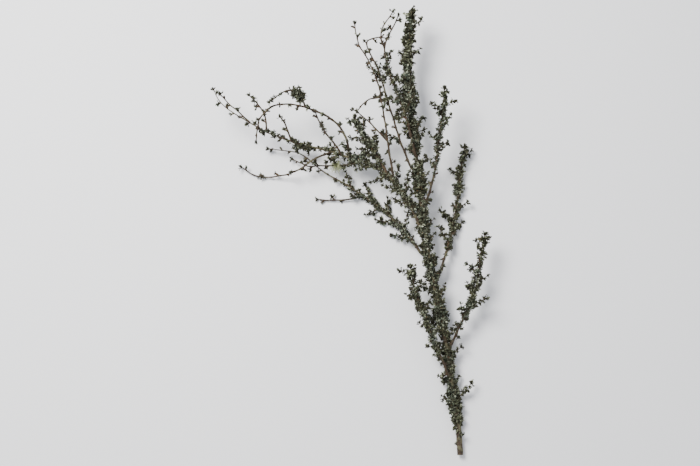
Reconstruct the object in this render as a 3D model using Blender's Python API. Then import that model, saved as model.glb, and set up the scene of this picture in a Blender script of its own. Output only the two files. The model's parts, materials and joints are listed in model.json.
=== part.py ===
"""A cut branch with lichen growing on its twigs, lying on its side as it would on a table.

The wood is split at its forks: the main stem, the limbs and the twigs are objects of their own, and
each larger lichen thallus is one more. X runs across the branch, Y from the cut end towards the tips
and Z up from the table. Routes are written in millimetres from the cut end and turned into metres
here. The finished branch stands with its box centred on the origin and its lowest point at Z = 0.
"""

import math

import bmesh
import bpy
from mathutils import Matrix, Vector, noise

MM = 0.001

JOINT_GAP = 0.3  # clear gap where a twig meets its parent, or a lichen its bark
LIMB_SIDES = 2  # bevel resolution of the stem and the limbs: 8 sides
TWIG_SIDES = 1  # bevel resolution of the twigs: 6 sides
RING_SPACING = 17.0  # distance between the rings of a tube
SWELLING = 0.10  # how far the wood thickens and thins along its length, as a share
WOBBLE = 0.9  # sideways wander of the wood between its route points
FORK_SHARE = 0.78  # a side twig's radius at its fork, as a share of its parent's
FORK_FLARE = 0.4  # how much the side twig may widen from one ring to the next above its fork
LUMPINESS = 0.2  # how far a thallus swells and dips round the wood, as a share of its width
THALLUS_GAP = 2.0  # clear length between the thalli of a run
BARREL = 0.6  # 1 makes a thallus an ellipsoid, and less a fuller barrel with blunt ends
TIP_SHARE = 0.7  # the last ring's radius, as a share of the tip's
TABLE_DEPTH = 60.0  # depth of the block that presses the low thalli flat

# Each stretch of wood: the one it forks from, its radius at the fork and at the tip, and its route.
# The first point of a side twig is moved onto the axis of the wood that it grows from.
WOOD = {
    "main_stem": {
        "parent": None,
        "radii": (5.2, 1.2),
        "route": [
            (210, 0, 9), (205, 68, 10), (194, 135, 14), (182, 218, 22), (167, 285, 30), (154, 357, 36),
            (143, 428, 42), (136, 503, 48), (129, 570, 53), (120, 638, 57), (117, 698, 60), (122, 757, 66),
            (126, 778, 69),
        ],
    },
    "left_limb": {
        "parent": "main_stem",
        "radii": (3.1, 0.8),
        "route": [
            (152, 372, 39), (136, 410, 43), (117, 447, 47), (94, 480, 49), (68, 504, 48), (38, 519, 44),
            (12, 527, 40), (-15, 536, 38), (-42, 543, 38), (-66, 548, 40), (-90, 555, 44), (-113, 563, 50),
            (-132, 569, 55), (-162, 585, 62), (-183, 596, 68), (-203, 609, 74), (-216, 622, 79),
            (-224, 637, 84),
        ],
    },
    "limb_twin_tip": {
        "parent": "left_limb",
        "radii": (1.1, 0.7),
        "route": [(-158, 583, 61), (-173, 596, 60), (-187, 609, 59), (-202, 622, 60), (-213, 633, 62)],
    },
    "tufted_twig": {
        "parent": "left_limb",
        "radii": (1.3, 0.8),
        "route": [
            (-131, 569, 55), (-133, 584, 60), (-137, 600, 66), (-144, 612, 71), (-152, 620, 76),
            (-160, 628, 80),
        ],
    },
    "knobbed_twig": {
        "parent": "left_limb",
        "radii": (1.3, 0.9),
        "route": [(-90, 555, 44), (-95, 571, 50), (-101, 585, 57), (-107, 593, 63)],
    },
    "arching_twig": {
        "parent": "left_limb",
        "radii": (1.8, 0.8),
        "route": [
            (13, 527, 40), (12, 545, 49), (6, 563, 58), (-5, 579, 67), (-20, 591, 75), (-39, 600, 82),
            (-59, 606, 88), (-78, 611, 92), (-99, 612, 94), (-119, 609, 93), (-134, 599, 89),
            (-144, 586, 85), (-148, 569, 80), (-150, 553, 75),
        ],
    },
    "arch_side_shoot": {
        "parent": "arching_twig",
        "radii": (1.3, 0.7),
        "route": [
            (-59, 606, 88), (-67, 617, 96), (-74, 628, 103), (-85, 633, 108), (-96, 633, 111),
            (-106, 628, 112), (-114, 619, 111), (-123, 615, 109),
        ],
    },
    "inner_twig": {
        "parent": "left_limb",
        "radii": (1.5, 0.9),
        "route": [(3, 530, 40), (-9, 546, 43), (-21, 560, 47), (-33, 576, 52), (-40, 590, 57), (-45, 602, 61)],
    },
    "lower_limb": {
        "parent": "main_stem",
        "radii": (2.8, 0.8),
        "route": [
            (160, 327, 35), (141, 357, 28), (117, 390, 19), (93, 418, 12), (68, 442, 8), (38, 462, 8),
            (6, 483, 10), (-15, 494, 12), (-36, 507, 15), (-56, 523, 19), (-72, 535, 22), (-91, 540, 21),
            (-110, 543, 18), (-129, 546, 15),
        ],
    },
    "cross_twig": {
        "parent": "left_limb",
        "radii": (1.3, 0.7),
        "route": [
            (38, 519, 44), (20, 515, 37), (-8, 513, 31), (-35, 513, 28), (-60, 513, 25), (-74, 520, 17),
            (-86, 527, 12),
        ],
    },
    "sweeping_twig": {
        "parent": "left_limb",
        "radii": (1.5, 0.7),
        "route": [
            (-13, 535, 38), (-29, 531, 45), (-48, 523, 47), (-62, 513, 43), (-75, 506, 34), (-95, 500, 21),
            (-118, 497, 10), (-138, 496, 5), (-156, 499, 4), (-168, 505, 6), (-178, 512, 9),
        ],
    },
    "low_spur_twig": {
        "parent": "lower_limb",
        "radii": (1.4, 0.8),
        "route": [(38, 462, 8), (22, 457, 7), (0, 455, 6), (-22, 454, 5), (-40, 456, 4)],
    },
    "right_twig": {
        "parent": "main_stem",
        "radii": (2.3, 0.9),
        "route": [
            (165, 296, 31), (180, 336, 25), (193, 376, 16), (202, 416, 10), (209, 458, 8), (214, 500, 10),
            (221, 545, 17),
        ],
    },
    "right_upper_twig": {
        "parent": "main_stem",
        "radii": (1.9, 0.8),
        "route": [(143, 428, 42), (157, 466, 50), (167, 508, 58), (171, 552, 66), (178, 596, 72), (181, 640, 80)],
    },
    "right_lower_twig": {
        "parent": "main_stem",
        "radii": (2.1, 0.9),
        "route": [(188, 178, 25), (207, 222, 32), (226, 262, 40), (239, 302, 46), (244, 345, 50), (252, 384, 57)],
    },
    "stem_side_twig": {
        "parent": "main_stem",
        "radii": (2.2, 0.9),
        "route": [(198, 115, 20), (182, 157, 31), (162, 200, 42), (146, 243, 51), (130, 284, 57), (121, 325, 66)],
    },
    "tall_thin_shoot": {
        "parent": "left_limb",
        "radii": (1.7, 0.7),
        "route": [
            (95, 480, 49), (88, 512, 57), (82, 548, 64), (77, 585, 70), (71, 617, 76), (65, 650, 81),
            (52, 683, 86), (39, 705, 90), (30, 721, 93), (26, 738, 96), (24, 752, 99),
        ],
    },
    "hooked_shoot": {
        "parent": "main_stem",
        "radii": (1.8, 0.8),
        "route": [
            (139, 475, 46), (122, 512, 44), (106, 552, 42), (92, 598, 42), (79, 642, 44), (67, 680, 48),
            (57, 702, 52), (48, 717, 56), (44, 728, 60), (51, 736, 64), (63, 738, 68), (77, 736, 72),
        ],
    },
    "forked_shoot": {
        "parent": "main_stem",
        "radii": (1.9, 0.8),
        "route": [
            (136, 500, 48), (127, 545, 62), (113, 595, 74), (97, 637, 82), (88, 658, 86), (82, 677, 90),
            (77, 697, 93), (76, 711, 95), (81, 729, 97), (91, 749, 99), (99, 766, 101),
        ],
    },
    "fork_tip": {
        "parent": "forked_shoot",
        "radii": (1.1, 0.7),
        "route": [(76, 709, 95), (71, 722, 100), (69, 735, 105), (73, 748, 109), (81, 759, 112), (88, 769, 114)],
    },
    "bushy_twig": {
        "parent": "left_limb",
        "radii": (1.9, 1.0),
        "route": [(85, 489, 49), (70, 516, 58), (56, 537, 66), (42, 554, 72), (31, 572, 78), (25, 589, 84)],
    },
    "straight_side_shoot": {
        "parent": "tall_thin_shoot",
        "radii": (1.2, 0.7),
        "route": [(82, 548, 64), (69, 564, 66), (54, 581, 66), (39, 595, 65), (23, 607, 63)],
    },
    "bent_side_shoot": {
        "parent": "tall_thin_shoot",
        "radii": (1.2, 0.7),
        "route": [(70, 620, 77), (59, 625, 84), (47, 621, 90), (37, 612, 94), (30, 602, 96)],
    },
}
LIMBS = ("main_stem", "left_limb", "lower_limb")

# Thalli that follow one another along the wood: the wood, the first and the last share of its
# length that they cover, how many there are, and how wide they are across the wood.
RUNS = [
    ("main_stem", 0.06, 0.98, 9, 27.0),
    ("left_limb", 0.10, 0.45, 3, 19.0),
    ("lower_limb", 0.12, 0.52, 2, 16.0),
    ("stem_side_twig", 0.28, 0.97, 1, 19.0),
    ("right_lower_twig", 0.28, 0.97, 1, 20.0),
    ("right_twig", 0.28, 0.96, 2, 20.0),
    ("right_upper_twig", 0.34, 0.98, 1, 17.0),
    ("forked_shoot", 0.34, 0.72, 1, 17.0),
    ("bushy_twig", 0.24, 1.00, 1, 23.0),
]

# Single clumps: the wood, the share of its length, the clump's length and width, and how far its
# middle stands off the axis along X, Y and Z.
CLUMPS = {
    "limb_junction_lichen": ("left_limb", 0.625, 34.0, 26.0, (0, -3, -3)),
    "middle_limb_lichen": ("left_limb", 0.535, 40.0, 12.0, (0, 2, 1)),
    "outer_limb_lichen": ("left_limb", 0.71, 36.0, 11.0, (0, 2, 1)),
    "tufted_tip_lichen": ("tufted_twig", 0.92, 20.0, 14.0, (0, 0, 0)),
    "arch_rosette_lichen": ("arch_side_shoot", 0.33, 29.0, 25.0, (-1, 1, -1)),
    "arch_tip_lichen": ("arch_side_shoot", 0.93, 18.0, 12.0, (0, 0, 0)),
    "knobbed_tip_lichen": ("knobbed_twig", 0.90, 15.0, 10.0, (0, 0, 0)),
    "inner_twig_lichen": ("inner_twig", 0.70, 24.0, 14.0, (0, 0, -1)),
    "sweeping_twig_lichen": ("sweeping_twig", 0.80, 18.0, 13.0, (0, 0, 0)),
    "hooked_shoot_lichen": ("hooked_shoot", 0.70, 44.0, 17.0, (2, 0, 0)),
    "beard_lichen": ("cross_twig", 0.36, 24.0, 22.0, (-1, -1, -5)),
}


def smooth_route(points):
    """A closely sampled curve through the route points."""
    ends = [points[0] * 2 - points[1], *points, points[-1] * 2 - points[-2]]
    samples = []
    for before, start, end, after in zip(ends, ends[1:], ends[2:], ends[3:]):
        steps = max(4, round((end - start).length))
        for step in range(steps):
            t = step / steps
            samples.append(
                0.5
                * (
                    2 * start
                    + (end - before) * t
                    + (2 * before - 5 * start + 4 * end - after) * t**2
                    + (3 * start - before - 3 * end + after) * t**3
                )
            )
    samples.append(points[-1].copy())
    return samples


def length_of(line):
    return sum((b - a).length for a, b in zip(line, line[1:]))


def point_at(line, share):
    """The point at this share of a line's length, and the direction there."""
    left = share * length_of(line)
    for a, b in zip(line, line[1:]):
        step = (b - a).length
        if left <= step or b is line[-1]:
            return a.lerp(b, left / step), (b - a).normalized()
        left -= step


def nearest_on(line, point):
    """The nearest point of a line, and its share of the line's length."""
    best, place, walked = None, 0.0, 0.0
    for a, b in zip(line, line[1:]):
        step = b - a
        share = min(1.0, max(0.0, (point - a).dot(step) / step.length_squared))
        foot = a + step * share
        if best is None or (foot - point).length < (best - point).length:
            best, place = foot, walked + share * step.length
        walked += step.length
    return best, place / walked


def wander(point, offset):
    """A gentle sideways wander that depends only on the place along the wood."""
    return Vector(noise.noise(point * 0.03 + Vector((offset, 7.0 * axis, 0))) for axis in range(3))


def ring_centres(name, points):
    """The middles of a tube's rings, evenly spaced along its route, with the wander of grown wood."""
    curve = smooth_route(points)
    rings = max(4, round(length_of(curve) / RING_SPACING))
    centres = []
    for ring in range(rings + 1):
        share = ring / rings
        centre, _ = point_at(curve, share)
        fade = min(1.0, 3 * share)
        centres.append(centre + wander(centre, len(name) * 1.7) * WOBBLE * fade)
    return centres


def centre_lines():
    """The axis of each stretch of wood, in millimetres. A side twig starts on its parent's axis."""
    lines = {}
    for name, wood in WOOD.items():
        points = [Vector(point) for point in wood["route"]]
        if wood["parent"]:
            points[0], _ = nearest_on(lines[wood["parent"]], points[0])
        lines[name] = ring_centres(name, points)
    return lines


def radius_at(name, share):
    """The wood's radius at this share of its length, with its slow swelling."""
    thick, thin = WOOD[name]["radii"]
    swell = 1 + SWELLING * noise.noise(Vector((share * 12, len(name) * 1.7, 0)))
    return (thick + (thin - thick) * share) * swell


def fork_limit(name, lines):
    """The widest that a side twig may be at its fork, so that its base stays inside its parent."""
    parent = WOOD[name]["parent"]
    if not parent:
        return math.inf
    _, share = nearest_on(lines[parent], lines[name][0])
    return FORK_SHARE * radius_at(parent, share)


def tube(name, lines, grow=0.0):
    """A tapering tube round the wood's axis as a closed mesh. A cutter is grown by a clearance."""
    centres = lines[name]
    shape = bpy.data.curves.new(name, "CURVE")
    shape.dimensions = "3D"
    shape.bevel_depth = MM
    shape.bevel_resolution = LIMB_SIDES if name in LIMBS else TWIG_SIDES
    shape.use_fill_caps = True
    spline = shape.splines.new("POLY")
    spline.points.add(len(centres) - 1)
    limit = fork_limit(name, lines)
    for ring, knot in enumerate(spline.points):
        share = ring / (len(centres) - 1)
        radius = min(radius_at(name, share), limit + FORK_FLARE * ring)
        if ring == len(centres) - 1:
            radius *= TIP_SHARE
        knot.co = (*(centres[ring] * MM), 1)
        knot.radius = radius + grow
    curve = bpy.data.objects.new(name, shape)
    bpy.context.scene.collection.objects.link(curve)
    graph = bpy.context.evaluated_depsgraph_get()
    mesh = bpy.data.meshes.new_from_object(curve.evaluated_get(graph))
    bpy.data.objects.remove(curve)
    work = bmesh.new()
    work.from_mesh(mesh)
    bmesh.ops.remove_doubles(work, verts=work.verts, dist=0.01 * MM)
    bmesh.ops.recalc_face_normals(work, faces=work.faces)
    work.to_mesh(mesh)
    work.free()
    mesh.shade_smooth()
    return bpy.data.objects.new(name, mesh)


def cut_by(piece, cutter):
    """Takes the cutter's shape out of the piece."""
    cut = piece.modifiers.new("clear_of_" + cutter.name, "BOOLEAN")
    cut.operation = "DIFFERENCE"
    cut.solver = "EXACT"
    cut.object = cutter


def largest_body(piece):
    """Settles the piece's cuts and drops the crumbs that they leave beside its main body."""
    graph = bpy.context.evaluated_depsgraph_get()
    mesh = bpy.data.meshes.new_from_object(piece.evaluated_get(graph))
    piece.modifiers.clear()
    work = bmesh.new()
    work.from_mesh(mesh)
    bodies = []
    seen = set()
    for seed in work.verts:
        if seed in seen:
            continue
        body, edge_of_body = [], [seed]
        seen.add(seed)
        while edge_of_body:
            vert = edge_of_body.pop()
            body.append(vert)
            for edge in vert.link_edges:
                other = edge.other_vert(vert)
                if other not in seen:
                    seen.add(other)
                    edge_of_body.append(other)
        bodies.append(body)
    bodies.sort(key=len)
    for crumb in bodies[:-1]:
        bmesh.ops.delete(work, geom=crumb, context="VERTS")
    work.to_mesh(mesh)
    work.free()
    piece.data = mesh


def plain_material(name, colour, roughness):
    material = bpy.data.materials.new(name)
    material.use_nodes = True
    surface = material.node_tree.nodes["Principled BSDF"]
    surface.inputs["Base Color"].default_value = (*colour, 1)
    surface.inputs["Roughness"].default_value = roughness
    surface.inputs["Metallic"].default_value = 0
    return material


def make_wood(lines, branch, cutters, bark, twig_bark):
    """Every stretch of wood, each cut back to the bark of its parent, and a grown copy as its cutter."""
    grown = {}
    for name, wood in WOOD.items():
        piece = tube(name, lines)
        piece.data.materials.append(bark if name in LIMBS else twig_bark)
        branch.objects.link(piece)
        grown[name] = tube(name, lines, JOINT_GAP)
        grown[name].name = name + "_clearance"
        cutters.objects.link(grown[name])
        if wood["parent"]:
            cut_by(piece, grown[wood["parent"]])
            largest_body(piece)
    return grown


def thallus(name, line, share, length, width, offset):
    """A lumpy barrel round the wood that bends along it."""
    mesh = bpy.data.meshes.new(name)
    work = bmesh.new()
    bmesh.ops.create_uvsphere(work, u_segments=8, v_segments=8, radius=1.0)
    total = length_of(line)
    seed = Vector((len(name) * 0.37, share * 9, total * 0.01))
    for vert in work.verts:
        place = share + vert.co.z * length / 2 / total
        on_wood = min(1.0, max(0.0, place))
        centre, along = point_at(line, on_wood)
        side = along.cross(Vector((0, 0, 1))).normalized()
        lump = 1 + LUMPINESS * noise.noise(vert.co * 1.6 + seed)
        round_part = vert.co.xy.length
        fuller = lump * width / 2 * round_part**BARREL / max(round_part, 1e-6)
        across = side * vert.co.x * fuller + along.cross(side) * vert.co.y * fuller
        vert.co = (centre + along * (place - on_wood) * total + across + Vector(offset)) * MM
    work.to_mesh(mesh)
    work.free()
    return bpy.data.objects.new(name, mesh)


def table_block(cutters):
    """The table under the branch, as a cutter that leaves the low thalli flat where they rest."""
    bpy.ops.mesh.primitive_cube_add(size=1)
    block = bpy.context.object
    block.name = "table_block"
    block.data.transform(Matrix.Diagonal((1.2, 1.4, TABLE_DEPTH * MM, 1)))
    block.data.transform(Matrix.Translation((0, 0.38, -TABLE_DEPTH * MM / 2)))
    for holder in list(block.users_collection):
        holder.objects.unlink(block)
    cutters.objects.link(block)
    return block


def growths(lines):
    """(name, wood, share, length, width, offset) of every thallus, runs first."""
    for wood, first, last, count, width in RUNS:
        pitch = (last - first) / count
        length = length_of(lines[wood]) * pitch - THALLUS_GAP
        for n in range(count):
            fuller = 1 + 0.12 * math.sin(2.4 * n + len(wood))
            name = f"{wood}_lichen_{n + 1}" if count > 1 else f"{wood}_lichen"
            yield name, wood, first + pitch * (n + 0.5), length, width * fuller, (0, 0, 0)
    for name, clump in CLUMPS.items():
        yield name, *clump


def make_lichen(lines, grown, branch, cutters, skins):
    """Every thallus, cut clear of the wood that passes through it, its neighbours and the table."""
    block = table_block(cutters)
    placed = []
    for name, wood, share, length, width, offset in growths(lines):
        line = lines[wood]
        middle = point_at(line, share)[0] + Vector(offset)
        reach = max(length, width) / 2
        piece = thallus(name, line, share, length, width, offset)
        piece.data.materials.append(skins.get(name, skins["leaf_lichen"]))
        branch.objects.link(piece)
        for other, other_line in lines.items():
            if (nearest_on(other_line, middle)[0] - middle).length < reach + width / 2:
                cut_by(piece, grown[other])
        for neighbour, other_middle, other_reach in placed:
            if (middle - other_middle).length < reach + other_reach:
                cut_by(piece, neighbour)
        cut_by(piece, block)
        largest_body(piece)
        wider = thallus(name, line, share, length + 1.5 * THALLUS_GAP, width + 1.5 * THALLUS_GAP, offset)
        wider.name = name + "_clearance"
        cutters.objects.link(wider)
        placed.append((wider, middle, reach + THALLUS_GAP))


def stand_on_origin(branch, cutters):
    """Moves the whole branch so that its box is centred on the origin and its lowest point is at Z = 0."""
    corners = []
    for piece in branch.objects:
        corners += [vert.co for vert in piece.data.vertices]
    low = Vector(map(min, *corners))
    high = Vector(map(max, *corners))
    holder = bpy.data.objects.new("branch", None)
    branch.objects.link(holder)
    holder.location = (-(low.x + high.x) / 2, -(low.y + high.y) / 2, -low.z)
    for piece in [*branch.objects, *cutters.objects]:
        if piece is not holder:
            piece.parent = holder


def main():
    for old in list(bpy.data.objects):
        bpy.data.objects.remove(old)
    branch = bpy.data.collections.new("lichen_branch")
    cutters = bpy.data.collections.new("cutters")
    bpy.context.scene.collection.children.link(branch)
    bpy.context.scene.collection.children.link(cutters)
    bark = plain_material("bark", (0.055, 0.045, 0.030), 0.85)
    twig_bark = plain_material("twig_bark", (0.085, 0.065, 0.042), 0.8)
    skins = {
        "leaf_lichen": plain_material("leaf_lichen", (0.24, 0.26, 0.20), 0.9),
        "beard_lichen": plain_material("beard_lichen", (0.40, 0.42, 0.27), 0.9),
    }
    lines = centre_lines()
    grown = make_wood(lines, branch, cutters, bark, twig_bark)
    make_lichen(lines, grown, branch, cutters, skins)
    for cutter in cutters.objects:
        cutter.hide_render = True
        cutter.display_type = "WIRE"
    stand_on_origin(branch, cutters)


main()
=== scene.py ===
"""The looks of a cut branch overgrown with leafy lichen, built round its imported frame.

Every stretch of wood is grown anew round the axis of its plain solid, with bark, bud scars and
short spurs. Lichen lobes then stand in rosettes on the bark wherever the frame has a thallus, as
long as that thallus is deep, and in small tufts on the spurs. Lengths are in metres.
"""

import json
import math
import random
from functools import cache

import bmesh
import bpy
from mathutils import Euler, Matrix, Quaternion, Vector, kdtree, noise
from mathutils.bvhtree import BVHTree

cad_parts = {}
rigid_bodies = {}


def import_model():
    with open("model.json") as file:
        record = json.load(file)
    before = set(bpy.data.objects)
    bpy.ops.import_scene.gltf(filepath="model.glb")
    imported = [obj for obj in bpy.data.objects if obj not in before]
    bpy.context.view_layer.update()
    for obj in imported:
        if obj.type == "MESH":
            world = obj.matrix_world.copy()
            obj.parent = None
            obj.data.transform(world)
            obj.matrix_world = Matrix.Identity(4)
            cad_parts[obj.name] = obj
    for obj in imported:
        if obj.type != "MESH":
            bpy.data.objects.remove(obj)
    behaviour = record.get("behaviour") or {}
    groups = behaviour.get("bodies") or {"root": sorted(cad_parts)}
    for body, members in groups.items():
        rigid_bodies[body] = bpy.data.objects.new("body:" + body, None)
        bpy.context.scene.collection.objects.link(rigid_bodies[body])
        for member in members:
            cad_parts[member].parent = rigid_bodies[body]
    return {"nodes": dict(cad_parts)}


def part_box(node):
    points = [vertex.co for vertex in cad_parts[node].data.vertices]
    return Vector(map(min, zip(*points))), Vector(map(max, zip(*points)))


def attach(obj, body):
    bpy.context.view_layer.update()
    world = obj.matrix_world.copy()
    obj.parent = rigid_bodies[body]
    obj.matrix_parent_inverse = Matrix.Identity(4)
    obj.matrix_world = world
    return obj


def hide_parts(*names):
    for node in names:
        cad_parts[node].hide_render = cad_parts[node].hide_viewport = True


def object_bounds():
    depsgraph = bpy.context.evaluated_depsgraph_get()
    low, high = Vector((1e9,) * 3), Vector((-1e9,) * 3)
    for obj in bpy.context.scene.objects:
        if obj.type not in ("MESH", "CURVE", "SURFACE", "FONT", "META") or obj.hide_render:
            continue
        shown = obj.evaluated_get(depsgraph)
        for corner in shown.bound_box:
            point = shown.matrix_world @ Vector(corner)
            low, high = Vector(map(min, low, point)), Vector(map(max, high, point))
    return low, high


bl_info = {
    "name": "Lichen Branch",
    "version": (1, 0, 0),
    "blender": (4, 5, 0),
    "location": "View3D > Sidebar > Lichen Branch",
    "description": "Grows bark, buds and lichen on the frame of a cut branch",
    "category": "Object",
}

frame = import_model()
CAD_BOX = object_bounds()

BODY = "root"
UP = Vector((0, 0, 1))
BEARD = "beard_lichen"

# The side twigs of each stretch of wood.
SIDE_TWIGS = {
    "main_stem": (
        "left_limb", "lower_limb", "right_twig", "right_upper_twig", "right_lower_twig",
        "stem_side_twig", "hooked_shoot", "forked_shoot",
    ),
    "left_limb": (
        "limb_twin_tip", "tufted_twig", "knobbed_twig", "arching_twig", "inner_twig",
        "cross_twig", "sweeping_twig", "tall_thin_shoot", "bushy_twig",
    ),
    "arching_twig": ("arch_side_shoot",),
    "lower_limb": ("low_spur_twig",),
    "forked_shoot": ("fork_tip",),
    "tall_thin_shoot": ("straight_side_shoot", "bent_side_shoot"),
}
FORKS = {twig: parent for parent, twigs in SIDE_TWIGS.items() for twig in twigs}
LIMBS = ("main_stem", "left_limb", "lower_limb")

# The rings of the plain solids, from which the axes of the wood are worked out.
LIMB_RING = 8  # corners in a limb's ring
TWIG_RING = 6
RING_REACH = 0.006  # corners nearer than this are in one ring
TIP_TAPER = 0.8  # how far the last ring is drawn in
FOOT_BACK = 0.012  # how far behind its first ring a side twig's foot is looked for
FOOT_SWELL = 1.15  # how much thicker a side twig is at its foot
CURVE_STEPS = 24

# Wood. Sides are the corners round it, and a pitch is the length from one to the next.
LIMB_SIDES = 14
TWIG_SIDES = 9
SHOOT_SIDES = 6
THINNEST = 0.0003
CRUST = 0.00035  # the skin of film lichen that thickens a twig
FORK_FLARE = 0.35  # how much a side twig widens at its fork
FLARE_REACH = 0.004
ZIGZAG = 0.0005  # how far a twig's axis swings out at a bud
BUD_SWELL = 0.28  # how much a twig thickens at a bud
BUD_REACH = 0.0022
LUMPS = 420.0  # in a metre
RIDGES = 90.0
SHOOT_PITCH = 0.0022
SHOOT_RADIUS = 0.0013  # at the thickest foot
SHOOT_JOINTS = 4
SHOOT_LIFT = 0.0025  # short shoots stay this far above the table
SPUR_PITCH = 0.11
SPUR_GRAIN = 0.006  # turns a spur's own length into the grain's metres
OLD_FILM = 0.10  # how far film lichen spreads over a limb
YOUNG_FILM = 0.03

# A spur's height and radius, a unit long, from its foot to its pointed bud.
SPUR_STAGES = (
    (-0.15, 0.24), (0.10, 0.22), (0.20, 0.27), (0.30, 0.21), (0.42, 0.28),
    (0.54, 0.22), (0.66, 0.30), (0.80, 0.22), (0.97, 0.07),
)

# How wide a frond's lobe is at each share of its length, up to its round end.
STEM_PROFILE = ((0.0, 0.55), (0.34, 1.0), (0.68, 1.02), (0.90, 0.66))
FORK_PROFILE = ((0.0, 0.50), (0.45, 1.0), (0.84, 0.68))
STEM_LENGTH = 0.95
LOBE_SNAKE = 0.14  # how far a lobe wanders sideways, as a share of its width
LOBE_WAVE = 0.20  # and up and down
LOBE_BACK = 0.20  # how far a lobe bulges above its middle, as a share of its half width
LOBE_BELLY = 0.22  # and below it
LOBE_REACH = 0.35  # how much nearer the frond's edge a lobe's last ring is than its foot
TIP_REACH = 0.42

# Rosettes on the bark inside a thallus. Depths are shares of the thallus's own.
LONG_THALLUS = 0.034  # a thallus longer than this is a sleeve of many clumps
CLUMPS = 75.0  # in a metre
CLUMP_DEPTHS = (0.45, 1.4)  # the flattest and the deepest clump of a sleeve
SLEEVE_DEPTH = 0.98
SLEEVE_RELIEF = 1.05
SINGLE_DEPTH = 1.08  # of a clump that stands alone
LEAST_REACH = 0.002
PATCH_SIDES = 10
SHELL_FAR = 0.05  # the thallus's outside is looked for from this far off the axis
STEM_BARK_SHARE = 0.28  # on the stem, the bark's area as a share of the thallus's over it
BARK_DENSITY = 400000.0  # rosettes in a square metre before the spacing thins them

# How lobes stand in a rosette.
GOLDEN_ANGLE = math.radians(137.5)  # the turn from one lobe to the next
FLATTEST = math.radians(-88.0)
STEEPEST = math.radians(-10.0)
SHAPE_DRAW = 40  # the highest number drawn; it is counted round the shapes

# Small tufts. Sizes are shares of a common tuft's.
BUD_TUFTS = 0.85  # the share of buds with a tuft
TIP_TUFT = 1.15
SHOOT_TUFT = 1.1
SHOOT_TUFT_PITCH = 0.0042
STRAY_PITCH = 0.0058
CROWN_PITCH = 0.0030
CROWN_SIZE = 1.35  # of the rosettes at a stem's tip, as a share of the others'
CROWN_LENGTH = 0.012

# Beard lichen.
THREAD_RADIUS = 0.00042
THREAD_TAPER = 0.65
THREAD_SIDES = 4
THREAD_PITCH = 0.0016
THREAD_STEPS = 6
THREAD_START = 0.0008  # off the twig's axis
THREAD_SWIRL = 0.0028
THREAD_KINK = 0.0007
THREAD_DROOP = 0.004
LONG_THREAD_EVERY = 9

PRESS_DEPTH = 0.0016  # what is nearer the table than this is pressed flatter
TABLE_GAP = 0.0003

# Short shoots thick with lichen: the wood, the first and last share of its length, and how many.
SHORT_SHOOTS = {
    "main_stem": (0.09, 0.97, 40),
    "left_limb": (0.10, 0.50, 12),
    "lower_limb": (0.12, 0.55, 8),
    "stem_side_twig": (0.25, 0.95, 7),
    "right_lower_twig": (0.25, 0.95, 7),
    "right_twig": (0.25, 0.95, 8),
    "right_upper_twig": (0.30, 0.95, 6),
    "forked_shoot": (0.20, 0.72, 6),
    "hooked_shoot": (0.20, 0.75, 5),
    "bushy_twig": (0.25, 0.95, 5),
}

# Stray rosettes between the larger thalli: the wood, the first and last share, and their size.
STRAY_ROSETTES = {
    "main_stem": (0.045, 1.0, 0.0100),
    "left_limb": (0.08, 0.80, 0.0072),
    "lower_limb": (0.10, 0.62, 0.0066),
    "right_twig": (0.22, 1.0, 0.0070),
    "right_upper_twig": (0.26, 1.0, 0.0065),
    "right_lower_twig": (0.22, 1.0, 0.0070),
    "stem_side_twig": (0.22, 1.0, 0.0070),
    "forked_shoot": (0.28, 0.74, 0.0060),
    "bushy_twig": (0.18, 1.0, 0.0070),
}


def number_field(name, description, default, kind=bpy.props.FloatProperty, **more):
    return kind(name=name, description=description, default=default, **more)


def length_field(name, description, default):
    return number_field(name, description, default, unit="LENGTH")


def colour_field(name, description, default):
    kind = bpy.props.FloatVectorProperty
    return number_field(name, description, default, kind, subtype="COLOR")


def count_field(name, description, default):
    return number_field(name, description, default, bpy.props.IntProperty, min=0)


class BarkSettings(bpy.types.PropertyGroup):
    """Sizes and colours of the wood"""

    pitch: length_field("Ring pitch", "Length between two rings of the bark mesh", 0.0022)
    bud_pitch: length_field("Bud pitch", "Length between two buds along a twig", 0.016)
    spur_length: length_field("Spur length", "Mean length of the short spurs", 0.0064)
    shoot_length: length_field("Shoot length", "Mean length of the short shoots", 0.027)
    dark: colour_field("Dark bark", "Colour in the furrows", (0.017, 0.011, 0.0065))
    light: colour_field("Light bark", "Colour on the ridges", (0.054, 0.034, 0.018))


class LichenSettings(bpy.types.PropertyGroup):
    """Sizes and colours of the lichen"""

    spacing: length_field("Rosette spacing", "Least distance between rosettes on a stem", 0.0041)
    lobes: count_field("Fronds", "Fronds in one rosette", 7)
    tuft_lobes: count_field("Tuft fronds", "Fronds in a small tuft", 6)
    tuft_reach: length_field("Tuft reach", "Length of the fronds in a small tuft", 0.0064)
    pale: colour_field("Pale lobe", "Upper side of the palest lobes", (0.54, 0.57, 0.43))
    green: colour_field("Green lobe", "Upper side of most lobes", (0.122, 0.134, 0.070))
    under: colour_field("Underside", "Underside of the lobes", (0.033, 0.033, 0.019))
    beard: colour_field("Beard lichen", "Colour of the threads", (0.42, 0.45, 0.25))
    threads: count_field("Threads", "Threads in the beard lichen", 150)


class StudioSettings(bpy.types.PropertyGroup):
    """The floor, the lights and the camera"""

    floor: colour_field("Floor", "Colour of the floor", (0.86, 0.865, 0.88))
    key: number_field("Key light", "Power of the large lamp", 105.0, unit="POWER")
    fill: number_field("Fill", "Strength of the light all round", 0.85)
    tilt: number_field("Tilt", "Camera's lean off upright", math.radians(6.0), subtype="ANGLE")
    lens: number_field("Lens", "Focal length in millimetres", 70.0)


# ---- Nodes and shader maths ----


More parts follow.
